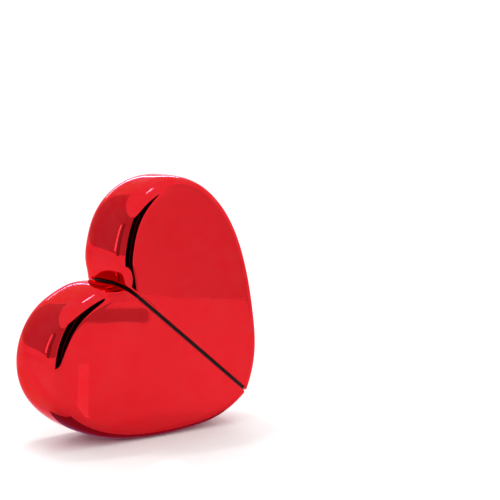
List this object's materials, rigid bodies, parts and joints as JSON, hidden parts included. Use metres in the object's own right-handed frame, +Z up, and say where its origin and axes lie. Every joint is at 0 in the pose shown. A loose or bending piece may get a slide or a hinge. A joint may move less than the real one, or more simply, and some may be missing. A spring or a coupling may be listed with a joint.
{
  "type": "wind-up music box",
  "caption": "Mirror-red heart in two half shells: the upper half turns on the seam to wind the spring movement with pinned cylinder and comb held in the lower half.",
  "frame": {"origin": "centre of the flat foot under the lower lobe, on the surface the object stands on", "axes": "+Z up; front face normal is -Y; +X is to the right seen from the front, towards the heart's tip"},
  "size_m": [0.1167, 0.034, 0.116],
  "materials": {
    "red_mirror": "vacuum-metallised, transparent red lacquer, mirror bright",
    "black_plastic": "moulded, satin",
    "pale_polymer": "moulded acetal, satin",
    "brass": "machined",
    "plated_steel": "nickel plated, stamped",
    "comb_steel": "ground, hardened",
    "spring_steel": "blued",
    "steel_screw": "zinc plated"
  },
  "bodies": {
    "lower_half": {"lower_shell": "red_mirror", "lower_deck": "black_plastic", "lower_deck_screws": "steel_screw", "movement_screws": "steel_screw", "swivel_washer": "pale_polymer", "arbor_bushing": "brass", "top_plate": "plated_steel", "bottom_plate": "plated_steel", "pillars": "brass", "comb_bridge": "plated_steel", "comb": "comb_steel", "comb_screws": "steel_screw", "frame_screws": "steel_screw", "spring_barrel": "plated_steel", "barrel_screws": "steel_screw", "mainspring": "spring_steel", "governor_bracket": "plated_steel", "bracket_screw": "steel_screw"},
    "upper_half": {"upper_shell": "red_mirror", "upper_deck": "black_plastic", "upper_deck_screws": "steel_screw", "drive_hub": "brass", "hub_screws": "steel_screw", "winding_arbor": "comb_steel", "arbor_screw": "steel_screw", "great_wheel": "brass", "ratchet_wheel": "comb_steel", "click": "comb_steel", "click_pin": "steel_screw", "arbor_clip": "spring_steel"},
    "cylinder": {"cylinder_arbor": "comb_steel", "cylinder_pinion": "brass", "pinned_cylinder": "brass", "cylinder_wheel": "brass"},
    "governor": {"governor_arbor": "comb_steel", "governor_pinion": "brass", "worm_wheel": "pale_polymer"},
    "fly": {"worm": "comb_steel", "fly": "pale_polymer"}
  },
  "joints": [
    {"name": "upper_half_turn", "type": "hinge", "parent": "lower_half", "child": "upper_half", "pos_m": [0.01822, 0, 0.03837], "axis": [0.6157, 0, 0.788], "continuous": true},
    {"name": "cylinder_turn", "type": "hinge", "parent": "lower_half", "child": "cylinder", "pos_m": [-0.0124, 0, 0.02549], "axis": [0.6157, 0, 0.788], "continuous": true},
    {"name": "governor_turn", "type": "hinge", "parent": "lower_half", "child": "governor", "pos_m": [-0.00337, 0, 0.01463], "axis": [0.6157, 0, 0.788], "continuous": true},
    {"name": "fly_turn", "type": "hinge", "parent": "lower_half", "child": "fly", "pos_m": [0.00438, -0.0076, 0.01416], "axis": [0.788, 0, -0.6157], "continuous": true}
  ],
  "couplings": [
    {"joint": "cylinder_turn", "follows": "upper_half_turn", "ratio": -2},
    {"joint": "governor_turn", "follows": "upper_half_turn", "ratio": 7.2},
    {"joint": "fly_turn", "follows": "upper_half_turn", "ratio": -172.8}
  ]
}
